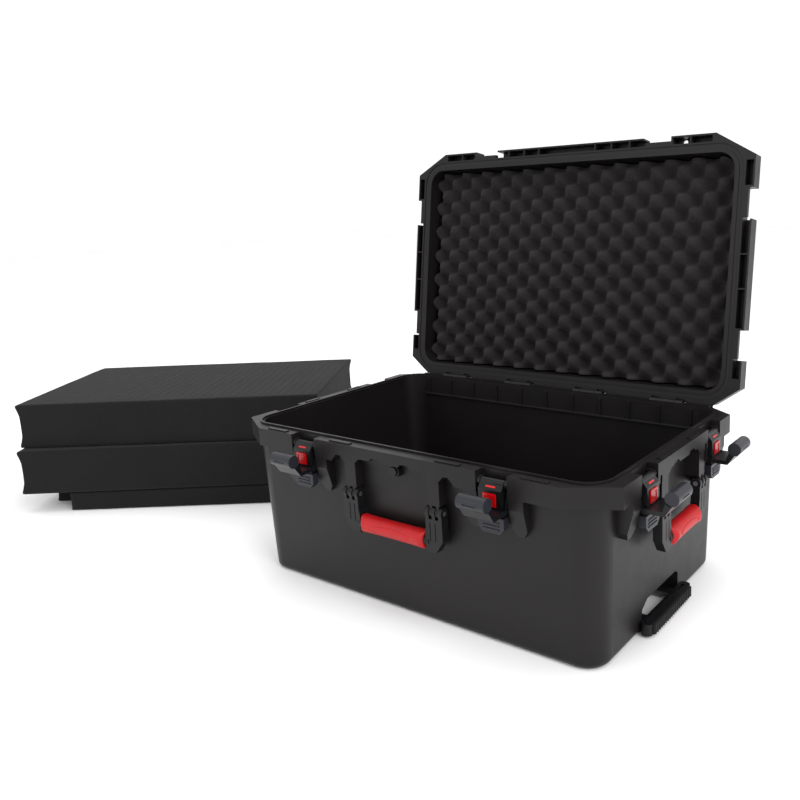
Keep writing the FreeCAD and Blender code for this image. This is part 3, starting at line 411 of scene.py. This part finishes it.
def egg_crate():
    """Convoluted foam: staggered rounded peaks facing the case, with a flat back and edges.

    It is shaped with the lid closed, and then turned to the open rest pose.
    """
    back = TO_OPEN.inverted()
    closed = [back @ vertex.co for vertex in frame["nodes"]["lid_foam"].data.vertices]
    low = Vector([min(p[a] for p in closed) for a in range(3)])
    high = Vector([max(p[a] for p in closed) for a in range(3)])
    along, across = EGG_GRID
    points = []
    faces = []
    centre = (low + high) / 2
    half = Vector(((high.x - low.x) / 2, (high.y - low.y) / 2, 0))
    for j in range(across + 1):
        for i in range(along + 1):
            x = low.x + (high.x - low.x) * i / along
            y = low.y + (high.y - low.y) * j / across
            wave = (math.cos(2 * math.pi * (x - centre.x) / EGG_PITCH)
                    * math.cos(2 * math.pi * (y - centre.y) / EGG_PITCH))
            wave = math.copysign(abs(wave) ** EGG_STEEPNESS, wave)
            rise = (1 - wave) / 2
            jitter = noise.noise(Vector((x * 60, y * 60, 2.0))) * EGG_JITTER
            z = low.z + EGG_JITTER + EGG_DEEP * rise + jitter
            dx = abs(x - centre.x) - (half.x - EGG_CORNER)
            dy = abs(y - centre.y) - (half.y - EGG_CORNER)
            if dx > 0 and dy > 0:
                reach = math.hypot(dx, dy)
                if reach > EGG_CORNER:
                    in_x = half.x - EGG_CORNER + dx * EGG_CORNER / reach
                    in_y = half.y - EGG_CORNER + dy * EGG_CORNER / reach
                    x = centre.x + math.copysign(in_x, x - centre.x)
                    y = centre.y + math.copysign(in_y, y - centre.y)
            points.append(Vector((x, y, z)))
    row = along + 1
    for j in range(across):
        for i in range(along):
            a = j * row + i
            faces.append([a, a + row, a + row + 1, a + 1])
    border = list(range(along + 1))
    border += [j * row + along for j in range(1, across + 1)]
    border += [across * row + i for i in range(along - 1, -1, -1)]
    border += [j * row for j in range(across - 1, 0, -1)]
    first = len(points)
    for index in border:
        p = points[index]
        points.append(Vector((p.x, p.y, high.z)))
    total = len(border)
    for k in range(total):
        following = (k + 1) % total
        faces.append([border[k], border[following], first + following, first + k])
    faces.append([first + k for k in range(total)])
    opened = [TO_OPEN @ p for p in points]
    obj = make_object("lid_egg_crate", opened, faces, MATERIALS["foam"])
    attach(obj, "lid")
    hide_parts("lid_foam")


egg_crate()

# ------------------------------------------------------------------ red grips
SIDES = {"front": ((0, -1, 0), (1, 0, 0)), "right": ((1, 0, 0), (0, 1, 0)),
         "left": ((-1, 0, 0), (0, -1, 0))}    # outward, and along the wall
GRIP_ROWS, GRIP_TURNS = 116, 96
GRIP_END_CUT = 6.5 * MM
GRIP_EDGE = 1.6 * MM
GRIP_OVAL_DEEP = 1.1 * MM
GRIP_BORE, GRIP_BORE_DEEP = 6.4 * MM, 3 * MM


def red_grip(name):
    """A soft oval grip with drawn-in ends and a shallow oval outline on its outer face."""
    node = "handle_grip_" + name
    out, along = (Vector(axis) for axis in SIDES[name])
    low, high = (Vector(corner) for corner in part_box(node))
    centre = (low + high) / 2
    half = abs((high - low).dot(along)) / 2
    radius = (high.z - low.z) / 2
    rows, turns = GRIP_ROWS, GRIP_TURNS
    points = []
    faces = []
    for i in range(rows + 1):
        share = -1 + 2 * i / rows
        for j in range(turns):
            angle = 2 * math.pi * j / turns
            facing = math.cos(angle)
            end = half - GRIP_END_CUT * max(0.0, facing) ** 2
            s = share * end
            waist = 1 - 0.07 * (1 - abs(share) ** 3)
            r = radius * waist * (0.93 + 0.07 * facing * facing)
            edge = half - abs(s) - (half - end)
            if edge < GRIP_EDGE:
                r -= (GRIP_EDGE - max(edge, 0.0)) * 0.55
            up = r * math.sin(angle)
            if facing > 0:
                oval = math.sqrt((s / (half * 0.62)) ** 2 + (up / (radius * 0.46)) ** 2)
                r -= GRIP_OVAL_DEEP * math.exp(-((oval - 1) / 0.07) ** 2)
            points.append(centre + along * s + out * (r * facing)
                          + Vector((0, 0, r * math.sin(angle))))
    for i in range(rows):
        for j in range(turns):
            a = i * turns + j
            b = i * turns + (j + 1) % turns
            faces.append([a, b, b + turns, a + turns])
    for ring, flip in ((0, True), (rows, False)):
        loop = [ring * turns + j for j in range(turns)]
        inner = []
        middle = centre + along * ((half - GRIP_BORE_DEEP) * (-1 if flip else 1))
        for j in range(turns):
            angle = 2 * math.pi * j / turns
            inner.append(len(points))
            points.append(middle + out * (GRIP_BORE * math.cos(angle))
                          + Vector((0, 0, GRIP_BORE * math.sin(angle))))
        for j in range(turns):
            k = (j + 1) % turns
            quad = [loop[j], loop[k], inner[k], inner[j]]
            faces.append(quad[::-1] if flip else quad)
        faces.append(inner[::-1] if flip else inner)
    obj = make_object("grip_" + name, points, faces, MATERIALS["red_grip"])
    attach(obj, "handle_" + name)
    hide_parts(node)


red_grip("front")
red_grip("right")
red_grip("left")

# ------------------------------------------------------------------ red marks on the latch levers
LEVER_FRONT, LEVER_EYE = 3.5 * MM, 4.4 * MM
SHOULDER_DROP, SHOULDER_EXTRA = 6 * MM, 1.6 * MM
MARK_HALF, MARK_THICK = Vector((6.5, 1.1, 0.5)) * MM, 0.5 * MM


def latch_mark(name):
    """A thin red bar on the sloping shoulder of the lever."""
    low, high = (Vector(corner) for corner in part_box("latch_lever_" + name))
    out, along = (Vector(axis) for axis in SIDES[name.split("_")[0]])
    centre = (low + high) / 2
    reach = abs((high - low).dot(out)) / 2
    eye_z = high.z - LEVER_EYE
    # The shoulder runs from the lever's front, a little under the pin, back and up to its height
    foot = centre + out * reach
    foot.z = eye_z - SHOULDER_DROP
    head = centre + out * (reach - LEVER_FRONT - SHOULDER_EXTRA)
    head.z = eye_z
    slope = (head - foot).normalized()
    normal = along.cross(slope)
    if normal.dot(out) < 0:
        normal = -normal
    middle = (head + foot) / 2 + normal * MARK_THICK * 0.2
    unit, faces = block_grid((4, 2, 1))
    points = []
    for u, v, w in unit:
        points.append(middle + along * ((2 * u - 1) * MARK_HALF.x)
                      + slope * ((2 * v - 1) * MARK_HALF.y)
                      + normal * ((2 * w - 1) * MARK_HALF.z))
    obj = make_object("latch_mark_" + name, points, faces, MATERIALS["red_button"], smooth=False)
    round_edges(obj, 0.3 * MM)
    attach(obj, "lever_" + name)


for node in frame["nodes"]:
    if node.startswith("latch_lever_"):
        latch_mark(node[len("latch_lever_"):])

# ------------------------------------------------------------------ ribs inside the back wall
RIM_Z = 220.5 * MM
WALL_LEAN = math.tan(math.radians(1.95))
WALL_AT_RIM = 176.0 * MM
RIB_PROUD, RIB_SUNK = 3.0 * MM, 1.5 * MM
RIB_HALF = 1.3 * MM
RIB_FOOT, RIB_HEAD = 29 * MM, 2 * MM         # below the rim
SHELF_HALF = 249 * MM
SHELF_LOW, SHELF_HIGH = 31.5 * MM, 28.5 * MM    # below the rim
SHELF_EXTRA = 0.6 * MM


def inner_ribs():
    """Short upright ribs under the rim of the inside back wall, standing on a low shelf line."""
    bars = [(x * MM, RIB_HALF, RIM_Z - RIB_FOOT, RIM_Z - RIB_HEAD, RIB_PROUD)
            for x in range(-240, 241, 48)]
    bars.append((0.0, SHELF_HALF, RIM_Z - SHELF_LOW, RIM_Z - SHELF_HIGH, RIB_PROUD + SHELF_EXTRA))
    points = []
    faces = []
    for x, half, low_z, high_z, proud in bars:
        unit, quads = block_grid((1, 1, 4))
        first = len(points)
        for u, v, w in unit:
            z = low_z + (high_z - low_z) * w
            wall = WALL_AT_RIM - (RIM_Z - z) * WALL_LEAN
            points.append(Vector((x + (2 * u - 1) * half,
                                  wall - proud + v * (proud + RIB_SUNK), z)))
        faces += [[first + index for index in quad] for quad in quads]
    obj = make_object("inner_ribs", points, faces, MATERIALS["shell"], smooth=False)
    round_edges(obj, 0.6 * MM)
    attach(obj, "base")


inner_ribs()

# ------------------------------------------------------------------ camera
CAMERA_AT = Vector((0.6556, -0.8746, 0.5166))
YAW, PITCH, ROLL = -0.620, 0.195, -0.039
IMAGE_SIDE = 800
FOCAL_LENGTH = 802.2    # in the image's own units
SENSOR = 36
forward = Vector((math.sin(YAW) * math.cos(PITCH), math.cos(YAW) * math.cos(PITCH),
                  -math.sin(PITCH)))
level = Vector((math.cos(YAW), -math.sin(YAW), 0))
upward = level.cross(forward)
side_axis = level * math.cos(ROLL) + upward * math.sin(ROLL)
up_axis = upward * math.cos(ROLL) - level * math.sin(ROLL)
lens = bpy.data.cameras.new("camera")
lens.sensor_width = SENSOR
lens.lens = SENSOR * FOCAL_LENGTH / IMAGE_SIDE
lens.shift_x = -0.1206
lens.shift_y = -0.0503
lens.clip_start = 0.01
camera = bpy.data.objects.new("camera", lens)
rows = Matrix((side_axis, up_axis, -forward)).transposed()
camera.matrix_world = Matrix.Translation(CAMERA_AT) @ rows.to_4x4()
bpy.context.scene.collection.objects.link(camera)
bpy.context.scene.camera = camera

# ------------------------------------------------------------------ floor and light
FLOOR_REACH, FLOOR_Z = 14.0, -0.0005
floor_material, floor_tree, floor_shader = new_material("floor_paper")
floor_noise = texture(floor_tree, "Noise", 3.0, Detail=2.0)
floor_tree.links.new(ramp(floor_tree, floor_noise.outputs["Fac"], (0.90, 0.90, 0.90, 1),
                          (0.93, 0.93, 0.93, 1)), floor_shader.inputs["Base Color"])
floor_shader.inputs["Roughness"].default_value = 0.9
floor_corners = [(x * FLOOR_REACH, y * FLOOR_REACH, FLOOR_Z)
                 for x, y in ((-1, -1), (1, -1), (1, 1), (-1, 1))]
floor = make_object("floor", floor_corners, [(0, 1, 2, 3)], floor_material, smooth=False)

world = bpy.data.worlds.new("studio")
world.use_nodes = True
background = world.node_tree.nodes["Background"]
background.inputs["Color"].default_value = (1.0, 1.0, 1.0, 1.0)
background.inputs["Strength"].default_value = 1.08
bpy.context.scene.world = world


def softbox(name, at, aim, size, power):
    light = bpy.data.lights.new(name, "AREA")
    light.shape = "RECTANGLE"
    light.size, light.size_y = size
    light.energy = power
    obj = bpy.data.objects.new(name, light)
    obj.location = at
    obj.rotation_euler = (Vector(aim) - Vector(at)).to_track_quat("-Z", "Y").to_euler()
    bpy.context.scene.collection.objects.link(obj)


softbox("key_right", (2.6, -0.9, 1.9), (0.2, 0, 0.2), (1.6, 1.6), 50)
softbox("fill_front", (-0.8, -3.0, 1.6), (0, 0, 0.25), (2.2, 1.6), 12)
softbox("top", (0, 0.3, 3.2), (0, 0, 0.2), (2.4, 2.4), 40)
bpy.context.scene.view_settings.view_transform = "Standard"
